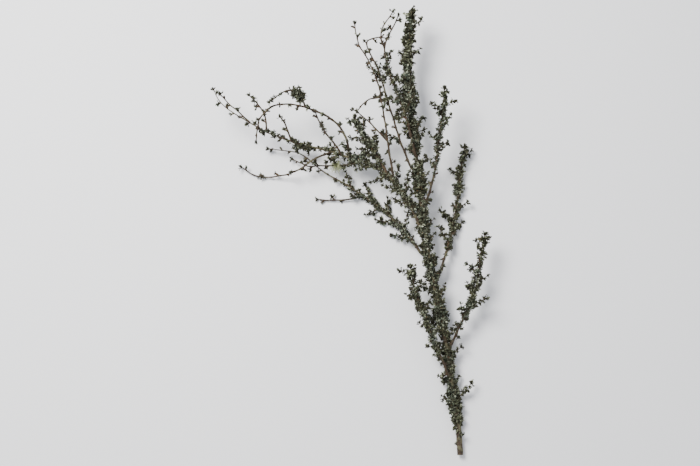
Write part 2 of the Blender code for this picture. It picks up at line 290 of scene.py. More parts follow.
class Field:
    """A socket in a node tree: an expression on fields adds the Math nodes that it needs."""

    def __init__(self, nodes, socket):
        self.nodes = nodes
        self.socket = socket

    def _math(self, operation, *terms):
        return self.nodes.node("ShaderNodeMath", {"operation": operation}, dict(enumerate(terms)))

    def __add__(self, other):
        return self._math("ADD", self, other)

    def __sub__(self, other):
        return self._math("SUBTRACT", self, other)

    def __rsub__(self, other):
        return self._math("SUBTRACT", other, self)

    def __mul__(self, other):
        return self._math("MULTIPLY", self, other)

    __radd__ = __add__

    def between(self, low, high):
        """0 below low, 1 above high and smooth between them."""
        settings = {"interpolation_type": "SMOOTHSTEP"}
        limits = {"Value": self, "From Min": low, "From Max": high}
        return self.nodes.node("ShaderNodeMapRange", settings, limits)


class Nodes:
    """A node tree under construction."""

    def __init__(self, tree):
        self.tree = tree

    def feed(self, socket, value):
        if isinstance(value, Field):
            self.tree.links.new(value.socket, socket)
        else:
            socket.default_value = value

    def outputs(self, kind, settings=None, inputs=None):
        """Adds a node, with its settings first and then the values or links of its sockets, which
        are given by name or number. Gives its outputs by name."""
        made = self.tree.nodes.new(kind)
        for key, value in (settings or {}).items():
            setattr(made, key, value)
        shown = [socket for socket in made.inputs if socket.enabled]
        for key, value in (inputs or {}).items():
            named = (socket for socket in shown if socket.name == key)
            self.feed(shown[key] if isinstance(key, int) else next(named), value)
        return {socket.name: Field(self, socket) for socket in made.outputs if socket.enabled}

    def node(self, kind, settings=None, inputs=None, output=None):
        """Adds a node and gives its first output, or the one of that name."""
        outputs = self.outputs(kind, settings, inputs)
        return outputs[output or next(iter(outputs))]


class Shader(Nodes):
    """A Principled material and the nodes that feed it."""

    def __init__(self, name):
        self.material = bpy.data.materials.new(name)
        self.material.use_nodes = True
        super().__init__(self.material.node_tree)
        self.surface = self.tree.nodes["Principled BSDF"].inputs

    def attribute(self, name, output="Fac"):
        return self.node("ShaderNodeAttribute", {"attribute_name": name}, output=output)

    def noise(self, scale, detail, vector=None):
        vector = vector or self.node("ShaderNodeTexCoord", output="Object")
        inputs = {"Vector": vector, "Scale": scale, "Detail": detail}
        return self.node("ShaderNodeTexNoise", None, inputs)

    def grained(self, around, along, detail):
        """Noise in the wood's grain, with its scale round the wood and in a metre of it."""
        scaled = {0: self.attribute("grain", "Vector"), 1: (around, along, 1.0)}
        vector = self.node("ShaderNodeVectorMath", {"operation": "MULTIPLY"}, scaled)
        return self.noise(1.0, detail, vector)

    def mix(self, factor, first, second):
        """A colour that goes from the first to the second as the factor rises."""
        colours = {"Factor": factor}
        for key, colour in (("A", first), ("B", second)):
            colours[key] = colour if isinstance(colour, Field) else (*colour, 1.0)
        return self.node("ShaderNodeMix", {"data_type": "RGBA"}, colours)

    def finish(self, colour, roughness, height, bump, specular=0.3):
        """Feeds the surface with a colour, a roughness and bumps of that height in millimetres."""
        relief = {"Strength": bump, "Distance": 0.001, "Height": height}
        self.feed(self.surface["Base Color"], colour)
        self.feed(self.surface["Roughness"], roughness)
        self.feed(self.surface["Specular IOR Level"], specular)
        self.feed(self.surface["Normal"], self.node("ShaderNodeBump", None, relief))
        return self.material


# Colours of the marks on bark and lobes, and of the painted shade at the foot of each lobe.
WORN_BARK = (0.086, 0.054, 0.029)
BUD_SCAR = (0.15, 0.125, 0.080)
FILM_LICHEN = (0.118, 0.112, 0.066)
SAWN_DARK = (0.30, 0.20, 0.105)
SAWN_PALE = (0.46, 0.345, 0.20)
GLAUCOUS_LOBE = (0.112, 0.142, 0.106)
BROWNED_LOBE = (0.088, 0.056, 0.027)
AGED_LOBE = (0.070, 0.068, 0.036)
RUSTY_LOBE = (0.27, 0.135, 0.045)
SPECK = (0.050, 0.048, 0.034)
# painted shade: the near-black that the foot of each lobe takes, for the shadow deep in a clump
LOBE_FOOT_PAINTED_SHADE = (0.026, 0.024, 0.014)
LOBE_RIM = (0.085, 0.074, 0.045)
BEARD_HEART = (0.16, 0.17, 0.075)


def bark_material(name, dark, light, film_share):
    """Furrowed bark with pale bud scars and a thin grey-green film of lichen in patches. Where the
    wood is cut it shows pale with rings."""
    shader = Shader(name)
    streaks = shader.grained(5.0, 260.0, 4.0)
    cracks = shader.grained(16.0, 700.0, 3.0)
    scars = shader.grained(7.0, 900.0, 0.0).between(0.66, 0.74)
    blotches = shader.noise(55.0, 3.0).between(0.50, 0.70)
    ridge = (streaks * 0.6 + cracks * 0.4).between(0.36, 0.66)
    wood = shader.mix(ridge, dark, light)
    worn = shader.mix(blotches * 0.6, wood, WORN_BARK)
    dotted = shader.mix(scars * 0.5, worn, BUD_SCAR)
    patches = shader.noise(90.0, 4.0) + shader.noise(620.0, 2.0) * 0.25
    film = patches.between(0.70 - film_share, 0.80 - film_share)
    crusted = shader.mix(film * 0.75, dotted, FILM_LICHEN)
    rings = shader.grained(0.6, 1900.0, 2.0).between(0.40, 0.60)
    sawn = shader.mix(rings, SAWN_DARK, SAWN_PALE)
    colour = shader.mix(shader.attribute("cut"), crusted, sawn)
    height = ridge * 0.7 + scars * 0.5 + film * 0.4
    return shader.finish(colour, 0.72 + film * 0.18, height, 0.65)


def lobe_material(name, pale, green, under):
    """Leafy lichen: grey-green above, with darker specks, and blackish underneath. Painted light
    and shade on the upper side: it darkens towards each lobe's foot, for the shadow deep in a
    clump, and its tips are painted paler, mixed with paler tone that differs at random. A few
    lobes are rusty."""
    shader = Shader(name)
    upper = shader.attribute("upper").between(0.25, 0.75)
    reach = shader.attribute("reach")
    leaf = shader.attribute("leaf")
    tone = shader.attribute("tone") * 0.45 + leaf * 0.55
    clouds = shader.noise(34.0, 2.0)
    mottle = shader.noise(760.0, 3.0)
    freckles = shader.noise(1900.0, 1.0).between(0.62, 0.72)
    blue_patches = shader.noise(22.0, 1.0).between(0.40, 0.60)
    brown_patches = shader.noise(52.0, 1.0).between(0.62, 0.72)
    # Which lobes are pale: tone that differs at random, and painted light that makes the tips
    # paler.
    tone_and_tip_light = (tone * 1.10 + clouds * 0.40 + reach * 0.30 - 0.76).between(0.0, 0.58)
    glaucous = shader.mix(blue_patches, green, GLAUCOUS_LOBE)
    browned = shader.mix(brown_patches * 0.70, glaucous, BROWNED_LOBE)
    skin = shader.mix(tone_and_tip_light, browned, pale)
    aged = shader.mix(mottle.between(0.52, 0.74) * 0.55, skin, AGED_LOBE)
    rusty = shader.mix(leaf.between(0.970, 0.972), aged, RUSTY_LOBE)
    specked = shader.mix(freckles * 0.45, rusty, SPECK)
    # Painted shade: the upper side darkens towards each lobe's foot, for the shadow deep in a
    # clump.
    painted_foot_shade = shader.mix((1.0 - reach).between(0.30, 0.85) * 0.88, specked, LOBE_FOOT_PAINTED_SHADE)
    rimmed = shader.mix(reach.between(0.60, 1.0) * 0.60, under, LOBE_RIM)
    colour = shader.mix(upper, rimmed, painted_foot_shade)
    return shader.finish(colour, 0.80 + mottle * 0.12, mottle + freckles * 0.5, 0.35, 0.22)


def thread_material(name, colour):
    """Thready lichen: pale yellow-green, greener and darker in its heart."""
    shader = Shader(name)
    reach = shader.attribute("reach")
    blend = (reach * 0.7 + shader.noise(300.0, 2.0) * 0.6).between(0.25, 0.95)
    tint = shader.mix(blend, BEARD_HEART, colour)
    return shader.finish(tint, 0.85, shader.noise(1500.0, 2.0), 0.2)


# ---- The axes of the wood ----


class Spine:
    """The axis of a stretch of wood: evenly spaced points, with the wood's radius at each."""

    def __init__(self, points, radii, pitch):
        self.points, self.radii = resample(points, radii, pitch)
        self.length = sum((b - a).length for a, b in zip(self.points, self.points[1:]))
        self.normals = carried_normals(self.points)

    def zigzag(self, pitch):
        """Bends the axis a little towards each bud, which sit on either side in turn."""
        step = self.bud_step(pitch)
        stride = self.length / (len(self.points) - 1)
        walked = 0.0
        for index in range(1, len(self.points)):
            walked += stride
            fade = min(1.0, walked / step)
            swing = ZIGZAG * fade * math.cos(math.pi * walked / step)
            self.points[index] = self.points[index] + self.normals[index] * swing
            to_bud = abs((walked / step + 0.5) % 1 - 0.5) * step
            self.radii[index] *= 1 + BUD_SWELL * math.exp(-((to_bud / BUD_REACH) ** 2)) * fade
        self.normals = carried_normals(self.points)

    def bud_step(self, pitch):
        return self.length / (max(1, int(self.length / pitch)) + 0.4)

    def direction(self, index):
        before = self.points[max(0, index - 1)]
        after = self.points[min(len(self.points) - 1, index + 1)]
        return (after - before).normalized()

    def index(self, share):
        return round(share * (len(self.points) - 1))

    def outward(self, index, turn):
        """The direction off the axis after a turn round it."""
        return Quaternion(self.direction(index), turn) @ self.normals[index]


def resample(points, radii, pitch):
    """Points and radii evenly spaced along a smooth curve through the given ones."""
    rows = [Vector((*point, radius)) for point, radius in zip(points, radii)]
    ends = [rows[0] * 2 - rows[1], *rows, rows[-1] * 2 - rows[-2]]
    dense = []
    for before, start, end, after in zip(ends, ends[1:], ends[2:], ends[3:]):
        for step in range(CURVE_STEPS):
            t = step / CURVE_STEPS
            curve = 2 * start + (end - before) * t
            curve += (2 * before - 5 * start + 4 * end - after) * t**2
            curve += (3 * start - before - 3 * end + after) * t**3
            dense.append(curve * 0.5)
    dense.append(rows[-1])
    spans = [(b.xyz - a.xyz).length for a, b in zip(dense, dense[1:])]
    count = max(3, round(sum(spans) / pitch))
    wanted = [sum(spans) * n / count for n in range(count + 1)]
    kept, walked, place = [], 0.0, 0
    for target in wanted:
        while place < len(spans) - 1 and walked + spans[place] < target:
            walked += spans[place]
            place += 1
        share = min(1.0, max(0.0, (target - walked) / max(spans[place], 1e-9)))
        kept.append(dense[place].lerp(dense[place + 1], share))
    return [row.xyz for row in kept], [max(row.w, THINNEST) for row in kept]


def carried_normals(points):
    """A direction across the axis at each point, carried along it without twisting."""
    along = (points[1] - points[0]).normalized()
    normal = along.orthogonal().normalized()
    normals = []
    for index, point in enumerate(points):
        after = points[min(index + 1, len(points) - 1)]
        step = after - point if after is not point else point - points[index - 1]
        turn = along.rotation_difference(step.normalized())
        along = step.normalized()
        normal = turn @ normal
        normals.append(normal)
    return normals


def whole_rings(node):
    """(middle, radius) of each whole ring of a node's plain tube, from its tip down."""
    corners = {tuple(round(c, 5) for c in vert.co) for vert in frame["nodes"][node].data.vertices}
    corners = [Vector(corner) for corner in sorted(corners)]
    tree = kdtree.KDTree(len(corners))
    for index, corner in enumerate(corners):
        tree.insert(corner, index)
    tree.balance()
    size = LIMB_RING if node in LIMBS else TWIG_RING
    rings, seen = [], set()
    for index in range(len(corners)):
        if index in seen:
            continue
        ring, edge = set(), [index]
        while edge:
            here = edge.pop()
            if here in ring:
                continue
            ring.add(here)
            edge += [near for _, near, _ in tree.find_range(corners[here], RING_REACH)]
        seen |= ring
        if len(ring) == size:
            middle = sum((corners[n] for n in ring), Vector()) / size
            rings.append((middle, sum((corners[n] - middle).length for n in ring) / size))
    chain = [min(rings, key=lambda ring: ring[1])]
    rings.remove(chain[0])
    while rings:
        following = min(rings, key=lambda ring: (ring[0] - chain[-1][0]).length)
        rings.remove(following)
        chain.append(following)
    return chain


def grow_spines(pitch, bud_pitch):
    """The axis of every stretch of wood. A side twig starts on its parent's axis."""
    spines = {}
    for name in ("main_stem", *FORKS):
        rings = whole_rings(name)[::-1]
        points = [middle for middle, _ in rings]
        radii = [radius for _, radius in rings]
        radii[-1] /= TIP_TAPER
        if name not in LIMBS:
            radii = [radius + CRUST for radius in radii]
        if name in FORKS:
            parent = spines[FORKS[name]]
            back = (points[0] - points[1]).normalized()
            guess = points[0] + back * FOOT_BACK
            foot = min(parent.points, key=lambda point: (point - guess).length)
            points.insert(0, foot)
            radii.insert(0, radii[0] * FOOT_SWELL)
        spines[name] = Spine(points, radii, pitch)
        if name not in LIMBS:
            spines[name].zigzag(bud_pitch)
    return spines


# ---- Meshes ----


def float_layer(mesh, name, values):
    layer = mesh.attributes.new(name, "FLOAT", "POINT")
    layer.data.foreach_set("value", values)


def grow_tube(work, grain, spine, sides, rough=0.06, flare=0.0, cut=None):
    """Adds a closed round skin along an axis, uneven like wood, with its grain as a UV map. With a
    cut layer its foot is sawn off flat, and the sawn faces are marked in that layer."""
    rings = []
    walked = 0.0
    last = len(spine.points) - 1
    for index, (centre, radius) in enumerate(zip(spine.points, spine.radii)):
        if index:
            walked += (centre - spine.points[index - 1]).length
        swell = 1 + flare * math.exp(-walked / FLARE_REACH)
        ring = []
        for side in range(sides):
            turn = math.tau * side / sides
            out = spine.outward(index, turn)
            bump = 1 + rough * noise.noise((centre + out * radius * 1.5) * LUMPS)
            ridge = Vector((math.cos(turn) * 1.7, math.sin(turn) * 1.7, walked * RIDGES))
            bump += rough * 0.8 * noise.noise(ridge)
            ring.append(work.verts.new(centre + out * radius * swell * bump))
        rings.append((ring, walked))
    for (low, low_at), (high, high_at) in zip(rings, rings[1:]):
        for side in range(sides):
            after = (side + 1) % sides
            face = work.faces.new((low[side], low[after], high[after], high[side]))
            face.smooth = True
            left, right = side / sides, (side + 1) / sides
            corners = ((left, low_at), (right, low_at), (right, high_at), (left, high_at))
            for loop, place in zip(face.loops, corners):
                loop[grain].uv = place
    for ring, at, outward, level in (
        (rings[0][0], 0.0, -spine.direction(0), 0),
        (rings[-1][0], walked, spine.direction(last), last),
    ):
        sawn = cut is not None and level == 0
        dome = 0.0 if sawn else 0.5
        pole = work.verts.new(spine.points[level] + outward * spine.radii[level] * dome)
        for side in range(sides):
            pair = (ring[side], ring[(side + 1) % sides])
            face = work.faces.new((*(pair if level else pair[::-1]), pole))
            face.smooth = not sawn
            for loop in face.loops:
                loop[grain].uv = (side / sides, at)
                if sawn:
                    loop[grain].uv = (side / sides, (loop.vert.co - pole.co).length)
            if sawn:
                face[cut] = 1.0
                for edge in face.edges:
                    edge.smooth = pole in edge.verts


def finish_mesh(name, work, material=None):
    mesh = bpy.data.meshes.new(name)
    work.to_mesh(mesh)
    work.free()
    if material:
        mesh.materials.append(material)
    return mesh


def new_object(name, data):
    made = bpy.data.objects.new(name, data)
    bpy.context.scene.collection.objects.link(made)
    return made


def add_piece(name, mesh, slot, *nodes):
    """Presses a finished mesh on the table and makes it a piece of the branch."""
    press_on_table(mesh)
    piece = new_object(name, mesh)
    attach(piece, BODY)
    if nodes:
        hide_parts(*nodes)


def press_on_table(mesh):
    """Presses what hangs below the table flat on it, without folding it through itself."""
    edge = PRESS_DEPTH + TABLE_GAP
    for vert in mesh.vertices:
        if vert.co.z < edge:
            below = vert.co.z - PRESS_DEPTH - TABLE_GAP
            vert.co.z = TABLE_GAP + PRESS_DEPTH * math.exp(below / PRESS_DEPTH)


# ---- Sites: points with a facing and a size, on which a node tree stands shapes ----


def facing_of(outward, along):
    """The rotation whose Z points outward and whose X leans along the wood."""
    side = outward.cross(along).normalized()
    forward = side.cross(outward).normalized()
    return Matrix((forward, side, outward)).transposed().to_quaternion()


def sites_object(name, sites):
    """A mesh of bare points, each with its facing and size, from (place, rotation, size) rows."""
    mesh = bpy.data.meshes.new(name)
    mesh.from_pydata([place for place, _, _ in sites], [], [])
    facing = mesh.attributes.new("facing", "QUATERNION", "POINT")
    for row, (_, turn, _) in zip(facing.data, sites):
        row.value = turn
    float_layer(mesh, "depth", [size for _, _, size in sites])
    return new_object(name, mesh)


class NodeTree(Nodes):
    """A Geometry Nodes tree under construction."""

    def __init__(self, name, inputs):
        super().__init__(bpy.data.node_groups.new(name, "GeometryNodeTree"))
        rim = self.tree.interface
        self.sockets = {}
        for label, kind in {"Geometry": "Geometry", "Material": "Material", **inputs}.items():
            kind = "NodeSocket" + kind
            self.sockets[label] = rim.new_socket(label, in_out="INPUT", socket_type=kind)
        rim.new_socket("Geometry", in_out="OUTPUT", socket_type="NodeSocketGeometry")
        self.entry = self.tree.nodes.new("NodeGroupInput")
        self.exit = self.tree.nodes.new("NodeGroupOutput")

    def given(self, label):
        return Field(self, self.entry.outputs[label])

    def random(self, low, high, seed, kind="FLOAT"):
        limits = {"Min": low, "Max": high, "Seed": seed}
        return self.node("FunctionNodeRandomValue", {"data_type": kind}, limits)

    def named(self, name, kind):
        return self.node("GeometryNodeInputNamedAttribute", {"data_type": kind}, {"Name": name})

    def turned(self, rotation, axis, angle):
        by = self.node("FunctionNodeAxisAngleToRotation", None, {"Axis": axis, "Angle": angle})
        turns = {"Rotation": rotation, "Rotate By": by}
        return self.node("FunctionNodeRotateRotation", {"rotation_space": "LOCAL"}, turns)

    def close(self, geometry):
        self.feed(self.exit.inputs[0], geometry)
        return self

    def run(self, target, values):
        """Runs the tree on an object, removes it and gives the plain mesh that it grew."""
        modifier = target.modifiers.new("grow", "NODES")
        modifier.node_group = self.tree
        for label, value in values.items():
            modifier[self.sockets[label].identifier] = value
        graph = bpy.context.evaluated_depsgraph_get()
        mesh = bpy.data.meshes.new_from_object(
            target.evaluated_get(graph), preserve_all_data_layers=True, depsgraph=graph
        )
        target.modifiers.remove(modifier)
        bpy.data.objects.remove(target)
        return mesh


def stand_shapes(tree, points, rotation, size, shapes, seed):
    """Stands one of the shapes on each point, marks its tone, and makes it all one mesh."""
    picked = tree.node(
        "GeometryNodeCollectionInfo", None,
        {"Collection": tree.given(shapes), "Separate Children": True, "Reset Children": True},
    )
    scale = tree.node("ShaderNodeCombineXYZ", None, {"X": size, "Y": size, "Z": size})
    placed = tree.node(
        "GeometryNodeInstanceOnPoints", None,
        {
            "Points": points, "Instance": picked, "Pick Instance": True, "Rotation": rotation,
            "Instance Index": tree.random(0, SHAPE_DRAW, seed + 1, "INT"), "Scale": scale,
        },
    )
    toned = tree.node(
        "GeometryNodeStoreNamedAttribute", {"data_type": "FLOAT", "domain": "INSTANCE"},
        {"Geometry": placed, "Name": "tone", "Value": tree.random(0.0, 1.0, seed + 2)},
    )
    real = tree.node("GeometryNodeRealizeInstances", None, {"Geometry": toned})
    look = {"Geometry": real, "Material": tree.given("Material")}
    return tree.node("GeometryNodeSetMaterial", None, look)


def rosette_tree(name, on_bark):
    """Rosettes of lobes, either spread over a patch of bark or standing on given sites."""
    inputs = {"Lobes": "Collection", "Lobes in a rosette": "Int"}
    if on_bark:
        inputs |= {"Seed": "Int", "Spacing": "Float"}
    tree = NodeTree(name, inputs)
    points = tree.given("Geometry")
    if on_bark:
        spread = tree.outputs(
            "GeometryNodeDistributePointsOnFaces", {"distribute_method": "POISSON"},
            {
                "Mesh": points, "Distance Min": tree.given("Spacing"),
                "Density Max": BARK_DENSITY, "Seed": tree.given("Seed"),
            },
        )
        points = tree.node(
            "GeometryNodeStoreNamedAttribute", {"data_type": "QUATERNION", "domain": "POINT"},
            {"Geometry": spread["Points"], "Name": "facing", "Value": spread["Rotation"]},
        )
    copies = tree.outputs(
        "GeometryNodeDuplicateElements", {"domain": "POINT"},
        {"Geometry": points, "Amount": tree.given("Lobes in a rosette")},
    )
    azimuth = copies["Duplicate Index"] * GOLDEN_ANGLE + tree.random(0.0, 1.4, 11)
    lean = tree.random(FLATTEST, STEEPEST, 12)
    turned = tree.turned(tree.named("facing", "QUATERNION"), (0.0, 0.0, 1.0), azimuth)
    raised = tree.turned(turned, (0.0, 1.0, 0.0), lean)
    rolled = tree.turned(raised, (1.0, 0.0, 0.0), tree.random(-0.5, 0.5, 13))
    size = tree.named("depth", "FLOAT") * tree.random(0.72, 1.12, 14)
    return tree.close(stand_shapes(tree, copies["Geometry"], rolled, size, "Lobes", 20))


def spur_tree(name):
    """Short bud-bearing spurs that stand on given sites."""
    tree = NodeTree(name, {"Spurs": "Collection"})
    facing = tree.named("facing", "QUATERNION")
    depth = tree.named("depth", "FLOAT")
    return tree.close(stand_shapes(tree, tree.given("Geometry"), facing, depth, "Spurs", 30))


# ---- Shapes that are repeated: lobes and spurs ----


def lobe(work, layers, foot, turn, length, width, profile, reach_at, rng):
    """A closed puffy round-ended lobe that waves, twists and curls as it leaves its foot. The
    profile gives its width from the foot on. Gives points along it."""
    upper, reach, leaf = layers
    tone = rng.random()
    sway = rng.uniform(-0.30, 0.30)
    curl = rng.uniform(-0.40, 0.40)
    twist = rng.uniform(-0.9, 0.9)
    phase = rng.uniform(0, math.tau)
    cup = rng.uniform(-0.15, 0.40)
    rings, axis = [], []
    for t, share in profile:
        centre = Vector((t * length, sway * t * t * length, curl * t * t * length))
        centre.y += LOBE_SNAKE * width * math.sin(phase + t * 5)
        centre.z += LOBE_WAVE * width * math.sin(phase * 2 + t * 6)
        half = width / 2 * share * rng.uniform(0.92, 1.08)
        roll = Matrix.Rotation(twist * t, 3, "X")
        rim = cup * half
        section = (
            (0, half, rim), (0, 0, LOBE_BACK * half), (0, -half, rim), (0, 0, -LOBE_BELLY * half)
        )
        ring = []
        for corner in section:
            vert = work.verts.new(foot + turn @ (centre + roll @ Vector(corner)))
            vert[reach] = min(1.0, reach_at + LOBE_REACH * t)
            vert[leaf] = tone
            ring.append(vert)
        rings.append(ring)
        axis.append(foot + turn @ centre)
    end = work.verts.new(axis[-1] + turn @ roll @ Vector(((1 - t) * length, 0, rim * 0.6)))
    end[reach] = min(1.0, reach_at + TIP_REACH)
    end[leaf] = tone
    for low, high in zip(rings, [*rings[1:], None]):
        for corner in range(4):
            after = (corner + 1) % 4
            top = (high[after], high[corner]) if high else (end,)
            face = work.faces.new((low[corner], low[after], *top))
            face[upper] = 1.0 if corner < 2 else 0.0
            face.smooth = True
    work.faces.new(rings[0][::-1])[upper] = 0.0
    return axis


def frond_mesh(name, rng, forks, width, spread):
    """A small leafy frond, a unit long: a wavy lobe that forks into round ones, which are wider
    than it as the spread rises."""
    work = bmesh.new()
    layers = (
        work.faces.layers.float.new("upper"),
        work.verts.layers.float.new("reach"),
        work.verts.layers.float.new("leaf"),
    )
    upright = Matrix.Identity(3)
    stem = lobe(work, layers, Vector(), upright, STEM_LENGTH, width, STEM_PROFILE, 0.0, rng)
    for fork in range(forks):
        place = 1 + (fork + rng.randrange(2)) % 3
        side = 1 if fork % 2 else -1
        angles = (rng.uniform(-0.7, 0.7), rng.uniform(-0.75, 0.45), side * rng.uniform(0.45, 1.15))
        turn = Euler(angles, "XYZ").to_matrix()
        length = rng.uniform(0.30, 0.52) * (1.1 - 0.45 * STEM_PROFILE[place][0])
        wide = width * spread * rng.uniform(0.70, 1.10)
        lobe(work, layers, stem[place], turn, length, wide, FORK_PROFILE, 0.18 * place, rng)
    return finish_mesh(name, work)


def large_frond(name, rng):
    return frond_mesh(name, rng, 4, rng.uniform(0.19, 0.28), 1.35)


def small_frond(name, rng):
    return frond_mesh(name, rng, 2, rng.uniform(0.38, 0.54), 1.05)


def spur_mesh(name, rng):
    """A stubby ringed spur with a pointed bud, a unit long, standing on its foot."""
    bend = rng.uniform(-0.25, 0.25)
    points = [Vector((bend * height**2, 0, height)) for height, _ in SPUR_STAGES]
    radii = [radius * rng.uniform(0.85, 1.15) for _, radius in SPUR_STAGES]
    spine = Spine(points, radii, SPUR_PITCH)
    work = bmesh.new()
    grain = work.loops.layers.uv.new("grain")
    grow_tube(work, grain, spine, SHOOT_SIDES)
    for face in work.faces:
        for loop in face.loops:
            loop[grain].uv.y *= SPUR_GRAIN
    return finish_mesh(name, work)


def shape_collection(name, make, count, seed):
    """A hidden collection of variants of one shape."""
    rng = random.Random(seed)
    shapes = bpy.data.collections.new(name)
    for number in range(count):
        label = f"{name}_{number:02d}"
        shapes.objects.link(bpy.data.objects.new(label, make(label, rng)))
    return shapes


def drop_collection(shapes):
    for shape in list(shapes.objects):
        bpy.data.objects.remove(shape)
    bpy.data.collections.remove(shapes)


# ---- What the operators share: worked out once, in the order that they run ----

workshop = {}  # the buds and the short shoots of each stretch of wood


@cache
def spines():
    """The axes of the wood, grown from the frame the first time that they are asked for."""
    settings = bpy.context.scene.bark_settings
    return grow_spines(settings.pitch, settings.bud_pitch)


@cache
def lobe_look():
    colours = bpy.context.scene.lichen_settings
    return lobe_material("leaf_lichen_skin", colours.pale, colours.green, colours.under)


def grow_lobes(name, tree, target, values, *nodes):
    """Runs a rosette tree on its target and puts the lobes into the scene as a piece."""
    mesh = tree.run(target, {**values, "Material": lobe_look()})
    if not mesh.polygons:
        raise RuntimeError(f"no lobes grew for {name}")
    add_piece(name, mesh, "leaf_lichen", *nodes)


def bud_sites(name, pitch, length, rng):
    """Spur sites, alternately on either side of a twig, each (place, rotation, size)."""
    spine = spines()[name]
    step = spine.bud_step(pitch) / spine.length
    sites = []
    for bud in range(1, int(1 / step) + 1):
        share = (bud + rng.uniform(-0.12, 0.12)) * step
        index = spine.index(min(0.985, share))
        turn = math.pi * bud + rng.uniform(-0.7, 0.7)
        along = spine.direction(index)
        out = spine.outward(index, turn)
        lean = (out + along * rng.uniform(0.4, 0.9)).normalized()
        base = spine.points[index] + out * spine.radii[index] * 0.6
        size = length * rng.uniform(0.7, 1.25)
        if base.z + lean.z * size < 0.001:
            continue
        sites.append((base, facing_of(lean, along), size))
    tip = len(spine.points) - 1
    ahead = spine.direction(tip)
    facing = facing_of(ahead, spine.normals[tip])
    sites.append((spine.points[tip], facing, length * rng.uniform(0.6, 0.8)))
    return sites


def shoot_spines(name, first, last, count, rng):
    """The axes of the short shoots that stand off a stretch of wood."""
    spine = spines()[name]
    mean = bpy.context.scene.bark_settings.shoot_length
    shoots = []
    for number in range(count):
        share = first + (last - first) * (number + rng.uniform(0.1, 0.9)) / count
        index = spine.index(share)
        along = spine.direction(index)
        side = along.cross(UP).normalized() * (1 if number % 2 else -1)
        out = (side + UP * rng.uniform(-0.55, 0.95)).normalized()
        length = mean * rng.uniform(0.55, 1.45) * (1.15 - 0.45 * share)
        heading = (out + along * rng.uniform(0.5, 1.3)).normalized()
        bow = rng.uniform(-0.2, 0.35)
        points = [spine.points[index]]
        for step in range(1, SHOOT_JOINTS + 1):
            bent = heading + along * bow * step / SHOOT_JOINTS + UP * rng.uniform(-0.12, 0.12)
            after = points[-1] + bent.normalized() * length / SHOOT_JOINTS
            after.z = max(after.z, SHOOT_LIFT)
            points.append(after)
        thick = min(spine.radii[index] * 0.75, SHOOT_RADIUS)
        radii = [thick * (1 - 0.12 * step) for step in range(SHOOT_JOINTS + 1)]
        shoots.append(Spine(points, radii, SHOOT_PITCH))
    return shoots


def tuft_sites(spine, spacing, size, rng, first=0.1, last=1.0):
    """Sites of small rosettes in a spiral along an axis. One at the tip faces ahead."""
    count = max(1, round(spine.length * (last - first) / spacing))
    sites = []
    for number in range(count + 1):
        index = spine.index(first + (last - first) * number / count)
        along = spine.direction(index)
        tip = index == len(spine.points) - 1
        out = along if tip else spine.outward(index, number * 2.4 + rng.uniform(-0.5, 0.5))
        across = along.orthogonal() if tip else along
        place = spine.points[index] + out * spine.radii[index] * 0.7
        sites.append((place, facing_of(out, across), size * rng.uniform(0.65, 1.25)))
    return sites


# ---- Operators ----


class LICHEN_OT_wood(bpy.types.Operator):
    """Grow bark, bud scars and spurs on every stretch of wood"""

    bl_idname = "lichen_branch.wood"
    bl_label = "Grow the wood"

    def execute(self, context):
        settings = context.scene.bark_settings
        limb_bark = bark_material("old_bark", settings.dark, settings.light, OLD_FILM)
        twig_bark = bark_material("young_bark", settings.dark, settings.light, YOUNG_FILM)
        spurs = shape_collection("bud_spur", spur_mesh, 5, 3)
        tree = spur_tree("spurs_on_sites")
        for name, spine in spines().items():
            rng = random.Random(name)
            limb = name in LIMBS
            look = limb_bark if limb else twig_bark
            work = bmesh.new()
            grain = work.loops.layers.uv.new("grain")
            cut = work.faces.layers.float.new("cut")
            sides = LIMB_SIDES if limb else TWIG_SIDES
            if name in FORKS:
                grow_tube(work, grain, spine, sides, flare=FORK_FLARE)
            else:
                grow_tube(work, grain, spine, sides, cut=cut)
            if name in SHORT_SHOOTS:
                workshop[name + "_shoots"] = shoot_spines(name, *SHORT_SHOOTS[name], rng)
                for shoot in workshop[name + "_shoots"]:
                    grow_tube(work, grain, shoot, SHOOT_SIDES)
            buds = bud_sites(name, settings.bud_pitch, settings.spur_length, rng)
            workshop[name + "_buds"] = buds
            sites = sites_object("spur_sites", buds)
            work.from_mesh(tree.run(sites, {"Spurs": spurs, "Material": look}))
            mesh = finish_mesh(name + "_bark", work, look)
            for face in mesh.polygons:
                face.material_index = 0
            add_piece(name + "_bark", mesh, "bark" if limb else "twig_bark", name)
        drop_collection(spurs)
        return {"FINISHED"}


def clump_depth(place, long):
    """How far the lobes reach at a place, as a share of the thallus's own depth there."""
    if not long:
        return SINGLE_DEPTH
    low, high = CLUMP_DEPTHS
    return min(high, max(low, SLEEVE_DEPTH + SLEEVE_RELIEF * noise.noise(place * CLUMPS)))


